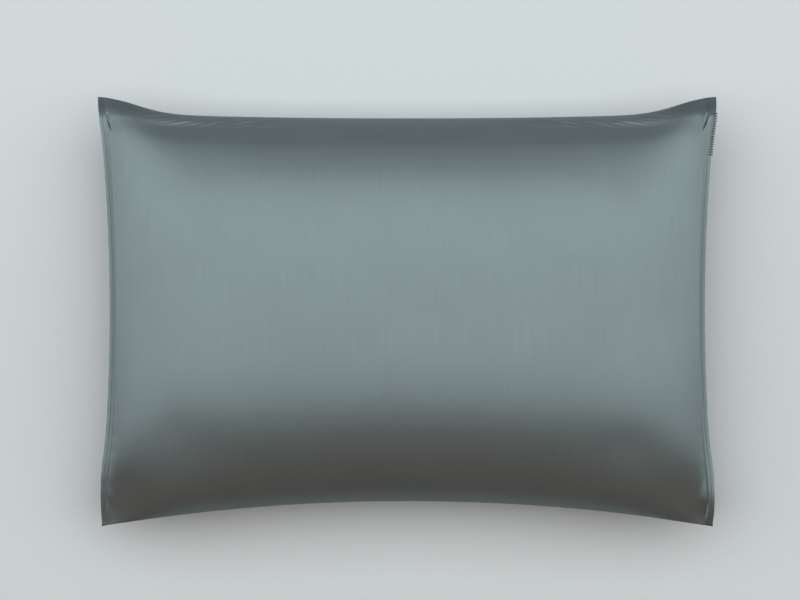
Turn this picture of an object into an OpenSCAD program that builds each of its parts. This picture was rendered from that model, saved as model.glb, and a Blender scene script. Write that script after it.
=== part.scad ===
// Bed pillow: satin case with a concealed coil zip, lying on a fibre filled insert.
// Millimetres. X is the long side, Y the short side, Z up. The back of the case lies on z = 0.

/* [Overall size] */
// Corner to corner length of the filled pillow
pillow_w = 724; // [600:1:900]
// Corner to corner height of the filled pillow
pillow_h = 503; // [440:1:620]
// Thickness of the filled pillow at its middle
loft = 152; // [120:1:190]
// Height of the seam plane above the floor
seam_z = 78; // [50:1:95]

/* [Outline] */
// How far the upper edge is drawn in between its corners
sag_top = 26; // [10:1:40]
// How far the lower edge is drawn in between its corners
sag_bottom = 29; // [10:1:40]
// How far each short side is drawn in between its corners
sag_side = 14; // [8:1:24]

/* [Case cloth] */
// Depth of the satin shell, measured inward
cloth_t = 0.6; // [0.4:0.1:1]
// Seam allowance turned inside the case
allowance = 9; // [6:0.5:10]
// Width of the flat stitched band down each short side
band_w = 8.5; // [8:0.1:9.5]
// Half of the gap between the two allowances, filled by the seam thread
seam_gap = 0.3; // [0.2:0.05:0.4]
// Row of topstitching, from the edge
stitch_in = 4; // [3:0.5:5.5]
// Thickness of sewing thread
thread_t = 0.5; // [0.3:0.1:0.7]

/* [Zip] */
// Chain plane, inboard of the edge
chain_set = 7; // [6.5:0.5:8]
// Distance from the pillow corner to the end of the chain
zip_margin = 36.5; // [32:0.5:60]
// Spacing of the coil turns on one side
tooth_pitch = 2.3; // [2:0.1:3]
// Thickness of the woven tape
tape_t = 0.5; // [0.4:0.05:0.6]
// Height of the tape that stands in the chain plane
tape_stand = 4.7; // [4.5:0.1:5]
// Half height of the closed chain
coil_h = 2.4; // [2.2:0.1:2.6]
// Outer face of the coil above the tape middle
coil_out = 2.25; // [2:0.05:2.3]

/* [Slider] */
// Length of the slider body
slider_l = 10.5; // [9:0.5:12]
// Half height of the slider body
slider_h = 3.9; // [3.7:0.1:4.2]
// Plate thickness of the slider
plate_t = 0.9; // [0.7:0.1:1]
// Radius of the pin that holds the pull tab
pin_r = 0.5; // [0.4:0.05:0.6]
// Radial clearance of the pull tab on its pin
pin_clear = 0.06; // [0.04:0.01:0.08]
// Length of the pull tab from its pin
tab_l = 20; // [14:1:26]
// Half width of the pull tab
tab_h = 2.5; // [2:0.1:3]

/* [Insert] */
// Inset of the insert edge from the case edge
insert_in = 12; // [11:0.5:16]
// Extra inset at the insert corners
insert_corner = 28; // [16:1:36]
// Radius of the corded edge
piping_r = 2; // [1.5:0.1:2.2]
// Depth of the ticking shell
ticking_t = 0.6; // [0.4:0.1:0.8]
// Gap between neighbouring soft layers over the middle
layer_gap = 0.4; // [0.3:0.05:0.6]

/* [Labels] */
// Width of the care label along the side seam
label_w = 30; // [20:1:36]
// Thickness of label cloth
label_t = 0.3; // [0.2:0.05:0.4]

/* [Hidden] */

half_w = pillow_w / 2;
half_h = pillow_h / 2;
top_rise = loft - seam_z;
// side edges are shallow arcs; the zip runs on arcs about the same centre
edge_r = (half_h * half_h + sag_side * sag_side) / (2 * sag_side);
arc_x = half_w - sag_side + edge_r;
chain_r = edge_r + chain_set;
zip_half = half_h - zip_margin;
zip_angle = 2 * asin(zip_half / chain_r);
slider_y = zip_half - slider_l / 2 - 4.75;
slider_angle = asin(slider_y / chain_r);
coil_in = tape_t / 2 + 0.02;
outer_plate = coil_out + 0.35;
pin_n = outer_plate + plate_t + 1.3;
eye_r = 1.1;
// cells along and across each soft panel
CASE_U = 36;
CASE_V = 26;
SOFT_U = 24;
SOFT_V = 18;

// ---------- outline and crown ----------
function clamp01(a) = min(1, max(0, a));
function edge_x(y) = arc_x - sqrt(edge_r * edge_r - y * y);
function edge_y(u, v) = v >= 0 ? half_h - sag_top * (1 - pow(abs(u), 4.5)) : half_h - sag_bottom * (1 - u * u);
function crown(u, v) = pow(max(0, 1 - pow(abs(u), 4.5)), 0.45) * pow(max(0, 1 - pow(abs(v), 3.2)), 0.55);
function floor_form(c) = min(1, 1.06 * (1 - pow(1 - c, 1.6)));
function side_on(v) = 1 - pow(abs(v), 30);
function near_side(u) = pow(clamp01(2 * u - 1), 2);
function grid_at(i, n) = i == 0 ? -1 : (i == n ? 1 : sin(90 * (2 * i / n - 1)));
function mix(a, b, w) = a * (1 - w) + b * w;

// ---------- edge sections of the case: [inset, half gap] from the outer skin round to the inner skin ----------
function plain_edge() = [[0, 0.9], [0.15, 0.65], [0.5, 0.45], [1.2, seam_gap], [4, seam_gap],
  [allowance, seam_gap], [allowance, seam_gap + 0.5], [cloth_t + 0.4, 1.3]];
function band_edge() = [[band_w, 1.7], [0.3, 1.5], [0, 0.9], [0.3, 0.4], [4, seam_gap],
  [allowance, seam_gap], [allowance, seam_gap + 0.5], [band_w + cloth_t, 2.2]];
function zip_edge(lip) = [[band_w, 7.2], [lip + 0.3, 6.4], [lip, 5.75], [lip + 0.3, 5.1], [chain_set - 0.4, 5.1],
  [chain_set + 6.6, 11.5], [chain_set + 6.6, 12], [band_w + cloth_t, 8]];
function side_edge(u, lip) = u > 0 ? zip_edge(lip) : band_edge();
function inset_x(k, u, v, lip) = mix(plain_edge()[k][0], side_edge(u, lip)[k][0], side_on(v));
function rim_gap(k, u, v, lip) = mix(plain_edge()[k][1], side_edge(u, lip)[k][1], side_on(v) * (abs(u) == 1 ? 1 : near_side(abs(u))));

function spot(u, v, ix, iy) = let(y = v * (edge_y(u, v) - iy)) [u * (edge_x(y) - ix), y];
function case_skin(u, v, k, depth, up, lip) = let(
  p = spot(u, v, inset_x(k, u, v, lip), plain_edge()[k][0]),
  c = up > 0 ? crown(u, v) : floor_form(crown(u, v)),
  rise = (up > 0 ? top_rise : seam_z) - depth,
  h = mix(rim_gap(k, u, v, lip), rise, c)) [p[0], p[1], seam_z + up * h];
function case_rim(u, v, k, up, lip) = let(
  p = spot(u, v, inset_x(k, u, v, lip), plain_edge()[k][0])) [p[0], p[1], seam_z + up * rim_gap(k, u, v, lip)];

// ---------- closed soft shells ----------
function ring_cell(k, nu, nv) = k < nu ? [k, 0] : (k < nu + nv ? [nu, k - nu]
  : (k < 2 * nu + nv ? [2 * nu + nv - k, nv] : [0, 2 * nu + 2 * nv - k]));
function ring_uv(k, nu, nv) = let(c = ring_cell(k, nu, nv)) [grid_at(c[0], nu), grid_at(c[1], nv)];
function skin_faces(nu, nv, base, turn) = [for (i = [0:nu - 1], j = [0:nv - 1], t = [0, 1])
  let(a = base + i * (nv + 1) + j, b = a + 1, c = a + nv + 2, d = a + nv + 1)
  t == 0 ? (turn ? [c, b, a] : [a, b, c]) : (turn ? [d, c, a] : [a, c, d])];
function ring_id(k, nu, nv, base) = let(c = ring_cell(k % (2 * nu + 2 * nv), nu, nv)) base + c[0] * (nv + 1) + c[1];
function band_faces(a, b, turn) = let(n = len(a)) [for (k = [0:n - 1], t = [0, 1])
  let(m = (k + 1) % n)
  t == 0 ? (turn ? [b[m], a[m], a[k]] : [a[k], a[m], b[m]]) : (turn ? [b[k], b[m], a[k]] : [a[k], b[m], b[k]])];

module soft_shell(outer, inner, rims, nu, nv, turn) {
  count = (nu + 1) * (nv + 1);
  ring = 2 * nu + 2 * nv;
  ids = concat([[for (k = [0:ring - 1]) ring_id(k, nu, nv, 0)]],
    [for (r = [0:1:len(rims) - 1]) [for (k = [0:ring - 1]) 2 * count + r * ring + k]],
    [[for (k = [0:ring - 1]) ring_id(k, nu, nv, count)]]);
  bands = [for (r = [0:len(ids) - 2]) each band_faces(ids[r], ids[r + 1], turn)];
  polyhedron(points = concat(outer, inner, [for (r = rims) each r]),
    faces = concat(skin_faces(nu, nv, 0, turn), skin_faces(nu, nv, count, !turn), bands), convexity = 10);
}

module case_panel(up, lip) {
  outer = [for (i = [0:CASE_U], j = [0:CASE_V]) case_skin(grid_at(i, CASE_U), grid_at(j, CASE_V), 0, 0, up, lip)];
  inner = [for (i = [0:CASE_U], j = [0:CASE_V]) case_skin(grid_at(i, CASE_U), grid_at(j, CASE_V), 7, cloth_t, up, lip)];
  rims = [for (k = [1:6]) [for (n = [0:2 * CASE_U + 2 * CASE_V - 1])
    let(q = ring_uv(n, CASE_U, CASE_V)) case_rim(q[0], q[1], k, up, lip)]];
  soft_shell(outer, inner, rims, CASE_U, CASE_V, up < 0);
}

module case_front() {
  color("slategray") case_panel(1, 0);
}

module case_back() {
  color("lightslategray") case_panel(-1, 4.5);
}

// ---------- sewing ----------
// lock stitches lying between the two allowances, in the seam plane
module seam_row(side) {
  n = 160;
  top = [for (i = [0:n]) let(u = 0.985 * (2 * i / n - 1), p = spot(u, side, 0, 1.6)) [p[0], p[1]]];
  low = [for (i = [n:-1:0]) let(u = 0.985 * (2 * i / n - 1), p = spot(u, side, 0, 1.6 + thread_t + 0.2 * (i % 2))) [p[0], p[1]]];
  translate([0, 0, seam_z - seam_gap])
    linear_extrude(height = 2 * seam_gap)
      polygon(concat(top, low));
}

module top_seam_thread() {
  color("dimgray") seam_row(1);
}

module bottom_seam_thread() {
  color("dimgray") seam_row(-1);
}

// a profile of [radius, height] swept along the side arc, over the middle share of the short side
module side_sweep(left, angle) {
  mirror([left ? 1 : 0, 0, 0])
    translate([arc_x, 0, seam_z])
      rotate([0, 0, 180 - angle / 2])
        rotate_extrude(angle = angle, $fn = 256)
          children();
}

row_angle = 2 * asin(0.92 * half_h / edge_r);

module left_topstitch() {
  color("dimgray") {
    for (s = [0, 1]) {
      mirror([0, 0, s])
        translate([0, 0, s * -2 * seam_z])
          side_sweep(true, row_angle)
            translate([edge_r + stitch_in, 1.3])
              square([thread_t, 0.65]);
    }
    for (i = [-20:20]) {
      mirror([1, 0, 0])
        translate([arc_x, 0, seam_z])
          rotate([0, 0, i * row_angle / 40.4])
            translate([-edge_r - stitch_in - thread_t * 0.8, -thread_t / 2, -1.7])
              cube([thread_t * 0.6, thread_t, 3.4]);
    }
  }
}

module placket_topstitch() {
  color("dimgray")
    side_sweep(false, row_angle)
      translate([edge_r + stitch_in, 4.95])
        square([thread_t, 1.95]);
}

// ---------- zip ----------
// tape section: stands in the chain plane, then slants in under the case panel
module tape_section() {
  half = tape_t / 2;
  polygon([[chain_r - half, 0.1], [chain_r - half, tape_stand + 0.1], [chain_r + 6.63, tape_stand + 6.35],
    [chain_r + 6.97, tape_stand + 6.0], [chain_r + half, tape_stand - 0.15], [chain_r + half, 0.1]]);
}

module on_chain(angle) {
  translate([arc_x, 0, seam_z])
    rotate([0, 0, -angle])
      translate([-chain_r, 0, 0])
        children();
}

tape_angle = zip_angle + 2 * asin(5 / chain_r);

module tape_half() {
  difference() {
    side_sweep(false, tape_angle) tape_section();
    on_chain(-slider_angle)
      translate([-2, -20, -1.3])
        cube([4, 20 - slider_l / 2 + 2.8, 2.6]);
  }
}

module zip_tape_front() {
  color("lightgray") tape_half();
}

module zip_tape_back() {
  color("gainsboro")
    translate([0, 0, 2 * seam_z])
      mirror([0, 0, 1])
        tape_half();
}

coil_from = -slider_angle + asin((2.6 - slider_l / 2) / chain_r);
coil_to = zip_angle / 2 - asin(3.4 / chain_r);
pitch_angle = tooth_pitch * 180 / (PI * chain_r);
tooth_count = floor((coil_to - coil_from) / pitch_angle) - 1;

// one side of the chain: turns reaching past the middle, held by the cord inside them
module coil_side(shift) {
  on_chain(coil_from)
    translate([chain_r, 0, 0])
      rotate([0, 0, 180 - (tooth_count + 0.9) * pitch_angle])
        rotate_extrude(angle = (tooth_count + 0.9) * pitch_angle, $fn = 256)
          translate([chain_r - coil_out + 0.45, 1.1])
            square([coil_out - coil_in - 0.6, 0.9]);
  for (i = [0:tooth_count - 1]) {
    on_chain(coil_from + (i + shift) * pitch_angle)
      translate([coil_in, 0, -0.55])
        cube([coil_out - coil_in, 0.8, coil_h + 0.55]);
  }
}

module zip_coil_front() {
  color("slategray") coil_side(0.05);
}

module zip_coil_back() {
  color("slategray")
    translate([0, 0, 2 * seam_z])
      mirror([0, 0, 1])
        coil_side(0.55);
}

// rows that hold each tape to the turned in edge of its panel
module stitch_line() {
  side_sweep(false, tape_angle * 0.98)
    translate([chain_r + 3, tape_stand + 2.2])
      square([thread_t, 2.15]);
}

module tape_stitching() {
  color("dimgray") {
    stitch_line();
    translate([0, 0, 2 * seam_z])
      mirror([0, 0, 1])
        stitch_line();
  }
}

module zip_bottom_stop() {
  color("slategray")
    on_chain(zip_angle / 2 - asin(1.6 / chain_r))
      translate([-tape_t / 2 - 0.35, -1.4, -2.6])
        cube([coil_out + tape_t / 2 + 0.5, 3, 5.2]);
}

module zip_top_stops() {
  color("slategray")
    for (s = [-1, 1]) {
      on_chain(-zip_angle / 2)
        translate([-tape_t / 2 - 0.35, 1.2, s * 2.3 - 0.75])
          cube([coil_out + tape_t / 2 + 0.35, 2.2, 1.5]);
    }
}

module zip_end_tacks() {
  color("dimgray")
    for (s = [-1, 1]) {
      on_chain(s * (zip_angle / 2 + asin(8 / chain_r)))
        translate([0.6, -0.9, -5.5])
          cube([1.6, 1.8, 11]);
    }
}

// the slider, drawn with X outward from the chain, Y along it towards the closed side, Z across it
module slider_body() {
  for (n = [-0.6 - plate_t, outer_plate]) {
    translate([n, -slider_l / 2, -slider_h])
      cube([plate_t, slider_l, 2 * slider_h]);
  }
  for (s = [-1, 1]) {
    translate([0.6, -slider_l / 2, s * (slider_h - plate_t / 2) - plate_t / 2])
      cube([outer_plate - 0.4, slider_l, plate_t]);
    translate([outer_plate + 0.2, -1.3, s * 1.8 - 0.4])
      cube([pin_n - outer_plate - 0.2, 2.6, 0.8]);
    translate([pin_n, 0, s * 1.8 - 0.4])
      cylinder(r = 1.3, h = 0.8, $fn = 48);
  }
  translate([-1, -slider_l / 2 + 1.25, 0])
    rotate([0, 90, 0])
      linear_extrude(height = outer_plate + 1.5)
        polygon([[-1.1, 0], [0, -1], [1.1, 0], [0, 1]]);
  translate([pin_n, 0, -1.8])
    cylinder(r = pin_r, h = 3.6, $fn = 48);
}

module zip_slider() {
  color("dimgray")
    on_chain(-slider_angle)
      slider_body();
}

module zip_pull_tab() {
  color("gray")
    on_chain(-slider_angle)
      translate([pin_n, 0, 0])
        difference() {
          union() {
            translate([0, 0, -1.2])
              cylinder(r = eye_r, h = 2.4, $fn = 48);
            translate([-0.6, 0.6, -1.2])
              cube([1.2, 3, 2.4]);
            translate([-0.6, 2.7, -tab_h])
              cube([1.2, tab_l - tab_h - 2.7, 2 * tab_h]);
            translate([-0.6, tab_l - tab_h, 0])
              rotate([0, 90, 0])
                cylinder(r = tab_h, h = 1.2, $fn = 48);
          }
          translate([0, 0, -2])
            cylinder(r = pin_r + pin_clear, h = 4, $fn = 48);
          translate([-1, tab_l - tab_h - 1, 0])
            rotate([0, 90, 0])
              cylinder(r = 1.2, h = 2, $fn = 48);
        }
}

// ---------- insert ----------
function soft_spot(u, v, more) = spot(u, v, insert_in + more + insert_corner * pow(abs(v), 8),
  insert_in + more + insert_corner * pow(abs(u), 8));
function soft_skin(u, v, more, gap, depth, up) = let(
  p = soft_spot(u, v, more),
  c = up > 0 ? crown(u, v) : floor_form(crown(u, v)),
  h = mix(gap, (up > 0 ? top_rise : seam_z) - depth, c)) [p[0], p[1], seam_z + up * h];

cover_depth = cloth_t + layer_gap;
fill_depth = cover_depth + ticking_t + layer_gap;

module insert_panel(up) {
  outer = [for (i = [0:SOFT_U], j = [0:SOFT_V])
    soft_skin(grid_at(i, SOFT_U), grid_at(j, SOFT_V), 0.8, 0.9, cover_depth, up)];
  inner = [for (i = [0:SOFT_U], j = [0:SOFT_V])
    soft_skin(grid_at(i, SOFT_U), grid_at(j, SOFT_V), 1.5, 0.2, cover_depth + ticking_t, up)];
  rim = [[for (n = [0:2 * SOFT_U + 2 * SOFT_V - 1])
    let(q = ring_uv(n, SOFT_U, SOFT_V)) soft_skin(q[0], q[1], 0.8, 0.2, 0, up)]];
  soft_shell(outer, inner, rim, SOFT_U, SOFT_V, up < 0);
}

module insert_cover_front() {
  color("white") insert_panel(1);
}

module insert_cover_back() {
  color("whitesmoke") insert_panel(-1);
}

module insert_piping() {
  m = 2 * SOFT_U + 2 * SOFT_V;
  path = [for (n = [0:m - 1]) let(q = ring_uv(n, SOFT_U, SOFT_V)) soft_spot(q[0], q[1], 0)];
  sides = 6;
  pts = [for (n = [0:m - 1], s = [0:sides - 1]) let(
    a = path[(n + m - 1) % m],
    b = path[(n + 1) % m],
    t = (b - a) / norm(b - a),
    out = [t[1], -t[0]],
    r = piping_r,
    w = s * 360 / sides)
    [path[n][0] + out[0] * r * cos(w), path[n][1] + out[1] * r * cos(w), seam_z + r * sin(w)]];
  tris = [for (n = [0:m - 1], s = [0:sides - 1], t = [0, 1]) let(
    a = n * sides + s,
    b = n * sides + (s + 1) % sides,
    c = ((n + 1) % m) * sides + (s + 1) % sides,
    d = ((n + 1) % m) * sides + s)
    t == 0 ? [a, b, c] : [a, c, d]];
  color("white") polyhedron(points = pts, faces = tris, convexity = 4);
}

// hand closed stretch of the insert seam, just inside the corded edge
module insert_closing_stitch() {
  n = 40;
  far = [for (i = [0:n]) let(u = 0.22 * (2 * i / n - 1)) soft_spot(u, -1, 3.0)];
  near = [for (i = [n:-1:0]) let(u = 0.22 * (2 * i / n - 1)) soft_spot(u, -1, 3.0 + thread_t + 0.2 * (i % 2))];
  color("lightgray")
    translate([0, 0, seam_z - 0.2])
      linear_extrude(height = 0.4)
        polygon(concat(far, near));
}

module fibre_fill() {
  top = [for (i = [0:SOFT_U], j = [0:SOFT_V])
    soft_skin(grid_at(i, SOFT_U), grid_at(j, SOFT_V), 6, 0.5, fill_depth, 1)];
  low = [for (i = [0:SOFT_U], j = [0:SOFT_V])
    soft_skin(grid_at(i, SOFT_U), grid_at(j, SOFT_V), 6, 0.5, fill_depth, -1)];
  color("ivory") soft_shell(top, low, [], SOFT_U, SOFT_V, false);
}

// ---------- labels ----------
// a strip of cloth that follows a line of [inset, height] points at the middle of the left side
module side_label(line, at_y) {
  n = len(line);
  far = [for (p = line) [-(half_w - sag_side - p[0]), seam_z + p[1]]];
  near = [for (i = [n - 1:-1:0]) [far[i][0] + label_t * 0.9, far[i][1] + label_t * 0.3]];
  translate([0, at_y + label_w / 2, 0])
    rotate([90, 0, 0])
      linear_extrude(height = label_w)
        polygon(concat(far, near));
}

// height midway between the insert and the case, at an inset from the middle of the left edge
function share(inset, from) = crown(min(1, (half_w - sag_side - inset) / (half_w - sag_side - from)), 0);
function between(inset, up) = let(
  soft = share(inset, insert_in + 0.8),
  skin = share(inset, band_w + cloth_t),
  a = up > 0 ? soft * (top_rise - cover_depth) : floor_form(soft) * (seam_z - cover_depth),
  b = up > 0 ? skin * (top_rise - cloth_t) : floor_form(skin) * (seam_z - cloth_t)) up * (a + b + 3) / 2;

module care_label() {
  color("white")
    side_label([[allowance - 1.5, -0.14], [allowance + 0.25, -0.14], [allowance + 0.35, -4],
      for (d = [12, 14, 17, 21, 25]) [d, between(d, -1)]], 0);
}

module insert_label() {
  color("white")
    side_label([[insert_in, 1.7], for (d = [insert_in + 0.8, 14, 17, 21, 25]) [d, between(d, 1)]], 60);
}

case_front();
case_back();
top_seam_thread();
bottom_seam_thread();
left_topstitch();
placket_topstitch();
zip_tape_front();
zip_tape_back();
zip_coil_front();
zip_coil_back();
tape_stitching();
zip_bottom_stop();
zip_top_stops();
zip_end_tacks();
zip_slider();
zip_pull_tab();
care_label();
insert_cover_front();
insert_cover_back();
insert_piping();
insert_closing_stitch();
fibre_fill();
insert_label();
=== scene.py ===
"""Bed pillow in a satin case with a concealed coil zip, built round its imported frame."""

import math

import bmesh
import bpy
import numpy as np
from mathutils import Matrix, Vector
from mathutils.bvhtree import BVHTree


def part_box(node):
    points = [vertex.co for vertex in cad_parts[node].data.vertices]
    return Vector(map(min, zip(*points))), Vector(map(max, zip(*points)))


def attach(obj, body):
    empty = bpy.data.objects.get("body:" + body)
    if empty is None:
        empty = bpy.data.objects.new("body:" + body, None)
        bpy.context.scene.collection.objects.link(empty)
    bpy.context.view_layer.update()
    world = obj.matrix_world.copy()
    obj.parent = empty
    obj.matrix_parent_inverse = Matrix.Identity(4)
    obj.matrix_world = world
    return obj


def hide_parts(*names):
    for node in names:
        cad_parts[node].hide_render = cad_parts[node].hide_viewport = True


bl_info = {
    "name": "Satin bed pillow",
    "version": (1, 0, 0),
    "blender": (4, 5, 0),
    "location": "3D View > Sidebar > Pillow",
    "description": "Builds a filled bed pillow, its satin case, zip, stitching and insert",
    "category": "Add Mesh",
}

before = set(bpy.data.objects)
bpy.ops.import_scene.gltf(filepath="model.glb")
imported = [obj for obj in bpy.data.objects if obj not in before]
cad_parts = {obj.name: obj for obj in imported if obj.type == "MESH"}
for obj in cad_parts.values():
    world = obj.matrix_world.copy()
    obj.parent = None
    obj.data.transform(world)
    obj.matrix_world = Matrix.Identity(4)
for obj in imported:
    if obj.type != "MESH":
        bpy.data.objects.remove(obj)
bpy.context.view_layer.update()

# sizes of the solids, in metres, in the same frame
FRONT_LOW, FRONT_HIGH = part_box("case_front")
BACK_LOW, BACK_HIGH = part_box("case_back")
HALF_W = FRONT_HIGH.x
HALF_H = FRONT_HIGH.y
SEAM_Z = (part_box("insert_piping")[0].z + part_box("insert_piping")[1].z) / 2
LOFT = FRONT_HIGH.z
SAG_TOP = 0.026
SAG_BOTTOM = 0.029
SAG_SIDE = 0.014
EDGE_R = (HALF_H ** 2 + SAG_SIDE ** 2) / (2 * SAG_SIDE)
ARC_X = HALF_W - SAG_SIDE + EDGE_R
CHAIN_SET = 0.007
CHAIN_R = EDGE_R + CHAIN_SET
BAND = 0.0085
LIP = 0.0045
INSERT_IN = 0.012
INSERT_CORNER = 0.028
SLIDER_Y = 0.205
PUCKER_EVERY = 0.0232
# corners: side, end, how far from the tip, how much lower, and how sharply the case hangs there
HANGING = ((-1, -1, 0.082, 0.020, 2), (1, -1, 0.055, 0.016, 3), (-1, 1, 0.062, 0.009, 2), (1, 1, 0.055, 0.009, 3))
# corners: side, end and the reach over which the crown tapers to the tip
TAPERED = ((-1, -1, 0.055), (1, -1, 0.055), (-1, 1, 0.028), (1, 1, 0.028))
# the zip's own whipping: first stitch, distance between stitches and between the two turns of one
WHIP_FROM, WHIP_EVERY, WHIP_TURN, WHIP_COUNT = 0.1820, 0.0030, 0.0009, 17
# topstitching: share of the side that it runs along, and how far in from the edge
TOPSTITCH, TOPSTITCH_IN = 0.92, 0.0042
# the zip along its chain: half the tapes' length, first and last turn of the coils, where they lie open
TAPE_END, COIL_FROM, COIL_TO, OPEN_FROM = 0.2195, -0.2072, 0.2112, -0.2062
# the pin's distance out from the chain, and the length of the slider body
PIN_OUT, BODY_LONG = 0.0048, 0.0105
# thickness of each cloth
SATIN_T, TICKING_T, TAPE_T, RIBBON_T = 0.00045, 0.00035, 0.0004, 0.00022
# points across and along each layer of the insert, and sides of its cord
LAYER_U, LAYER_V, CORD_SIDES = 97, 73, 10
# width of the floor that the picture takes in, and the camera's height over the seams
SEEN_WIDTH, CAMERA_UP = 0.936, 2.6
# things made once and used again: materials and height lookups
MADE = {}


# ---------------------------------------------------------------- small helpers
def linear(hex_colour):
    """sRGB hex to linear RGBA."""
    h = hex_colour.lstrip("#")
    out = []
    for k in (0, 2, 4):
        c = int(h[k:k + 2], 16) / 255
        out.append(c / 12.92 if c <= 0.04045 else ((c + 0.055) / 1.055) ** 2.4)
    return (*out, 1.0)


def node(tree, kind, links=(), **settings):
    """Adds one shader node. Settings whose name is a socket's set that socket; links are (socket, source)."""
    n = tree.nodes.new(kind)
    for key, value in settings.items():
        if hasattr(n, key):
            setattr(n, key, value)
        else:
            n.inputs[key.replace("_", " ")].default_value = value
    for socket, source in links:
        tree.links.new(source, n.inputs[socket])
    return n


def new_material(name):
    """An empty material and its node tree."""
    m = bpy.data.materials.new(name)
    m.use_nodes = True
    m.node_tree.nodes.clear()
    return m, m.node_tree


def finish_material(tree, shader):
    """Joins the shader to the material's output."""
    node(tree, "ShaderNodeOutputMaterial", [("Surface", shader.outputs[0])])


def give(obj, material):
    obj.data.materials.clear()
    obj.data.materials.append(material)


def clear_selection():
    bpy.ops.object.select_all(action="DESELECT")


def select_only(obj):
    clear_selection()
    obj.select_set(True)
    bpy.context.view_layer.objects.active = obj


def mesh_object(name, points, faces, smooth=True):
    """A new object at the origin from its points and faces."""
    mesh = bpy.data.meshes.new(name)
    mesh.from_pydata([tuple(map(float, p)) for p in points], [], [tuple(int(i) for i in f) for f in faces])
    mesh.validate()
    mesh.update()
    if smooth:
        mesh.polygons.foreach_set("use_smooth", [True] * len(mesh.polygons))
    o = bpy.data.objects.new(name, mesh)
    bpy.context.scene.collection.objects.link(o)
    return o


# ---------------------------------------------------------------- outline of the filled pillow
def edge_x(y):
    """The short sides: shallow arcs that swell a little above the lower corners and tuck in at their tips."""
    y = np.asarray(y, float)
    swell = 0.0022 * np.exp(-((y + 0.192) / 0.032) ** 2) - 0.0024 * np.exp(-((y + HALF_H) / 0.016) ** 2)
    swell = swell + 0.0016 * np.exp(-((y - 0.232) / 0.026) ** 2)
    return ARC_X - np.sqrt(EDGE_R ** 2 - y ** 2) + swell


def edge_top(u):
    """The upper edge: nearly straight, with its ends swept up into the tips."""
    u = np.abs(np.asarray(u, float))
    return HALF_H - SAG_TOP * (0.72 * (1 - np.exp(-((1 - u) / 0.145) ** 2)) + 0.28 * (1 - u ** 2.2))


def edge_bottom(u):
    """The lower edge: one shallow arc, a little longer at its tips."""
    u = np.abs(np.asarray(u, float))
    return HALF_H - SAG_BOTTOM * (1 - u ** 2) + 0.0022 * u ** 8


def edge_y(u, v):
    return np.where(np.asarray(v) >= 0, edge_top(u), edge_bottom(u))


ACROSS = (6.0, 0.42)
ALONG = (3.2, 0.55)


def crown_line(t, form):
    """Height of the filled cloth across its width, from 0 at the seam to 1 in the middle."""
    return np.maximum(0, 1 - np.abs(t) ** form[0]) ** form[1]


def spread(flat, half_span, half_flat, height, form):
    """Where points spaced evenly on the flat cloth fall along a crowned line of that height, from -1 to 1."""
    t = np.sin(np.linspace(0, math.pi / 2, 600))
    z = height * crown_line(t, form)
    length = np.concatenate([[0], np.cumsum(np.hypot(np.diff(t * half_span), np.diff(z)))])
    return np.sign(flat) * np.interp(np.abs(flat) / half_flat, length / length[-1], t)


def droop(x, y):
    """How far the corners of the filled case hang below the plane of its seams."""
    x, y = np.asarray(x, float), np.asarray(y, float)
    total = np.zeros(np.broadcast(x, y).shape)
    for sx, sy, reach, drop, power in HANGING:
        r = np.hypot((x - sx * HALF_W) * (0.7 if sy < 0 else 1), y - sy * HALF_H)
        total = total + drop * np.maximum(0, 1 - r / reach) ** power
    return total


def drooped(points):
    """The same points, lowered where the corners hang."""
    p = np.array(points, float)
    p[..., 2] -= droop(p[..., 0], p[..., 1])
    return p


# ---------------------------------------------------------------- the case, as a cloth simulation
# edge sections from the skin round into the case, (inset, half gap) in metres: sewn corner, left band and zip lip
CORNER_LEFT = ((0.0085, 0.0009), (0.0043, 0.0009), (0.0003, 0.0009), (0, 0.0008), (0.0003, 0.0004), (0.004, 0.0003),
               (0.009, 0.0003))
SIDE_LEFT = ((0.0085, 0.0017), (0.0043, 0.00165), (0.0003, 0.0015), (0, 0.0009), (0.0003, 0.0004), (0.004, 0.0003),
             (0.009, 0.0003))
CORNER_ZIP = ((0.0085, 0.0009), (0.0043, 0.0009), (0.0003, 0.0009), (0, 0.0008), (0.0003, 0.0005), (0.003, 0.0004),
              (0.006, 0.0003), (0.0078, 0.0003), (0.009, 0.0003))
SIDE_ZIP = ((0.0085, 0.0072), (0.0043, 0.0069), (0.0003, 0.0064), (0, 0.00575), (0.0003, 0.0051), (0.0035, 0.0051),
            (0.0066, 0.0051), (0.0101, 0.0083), (0.0136, 0.0115))
SEWN = ((0.0003, 0.0005), (0.004, 0.0003), (0.009, 0.0003))


def eased(t):
    """Smooth step from 0 to 1."""
    t = np.clip(t, 0, 1)
    return t * t * (3 - 2 * t)


def pucker(y):
    """Share of a tuck at each height beside the stitched bands, none at the tips."""
    place = y / PUCKER_EVERY + 0.21 * np.sin(y * 37)
    return np.exp(-((place - np.round(place)) / 0.17) ** 2) * eased((HALF_H - np.abs(y)) / 0.03)


def lengths(points):
    """Distance along a line of points to each of them."""
    return np.concatenate([[0], np.cumsum(np.linalg.norm(np.diff(points, axis=0), axis=1))])


def round_edge(n, m):
    """Indices round the edge of a grid of points."""
    return np.concatenate([np.arange(n - 1) * m, (n - 1) * m + np.arange(m - 1), np.arange(n - 1, 0, -1) * m + m - 1,
                           np.arange(m - 1, 0, -1)])


def walked(section):
    """Distance along a section from its fourth point, which is the edge."""
    p = np.array(section)
    d = np.concatenate([[0], np.cumsum(np.hypot(*np.diff(p, axis=0).T))])
    return d - d[3]


def ear(x, y):
    """Share of the crown's height that is left where the corners narrow to their tips."""
    left = np.ones(np.shape(x))
    for sx, sy, reach in TAPERED:
        left = left * (1 - np.exp(-(np.hypot(x - sx * HALF_W, y - sy * HALF_H) / reach) ** 2))
    return left


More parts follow.
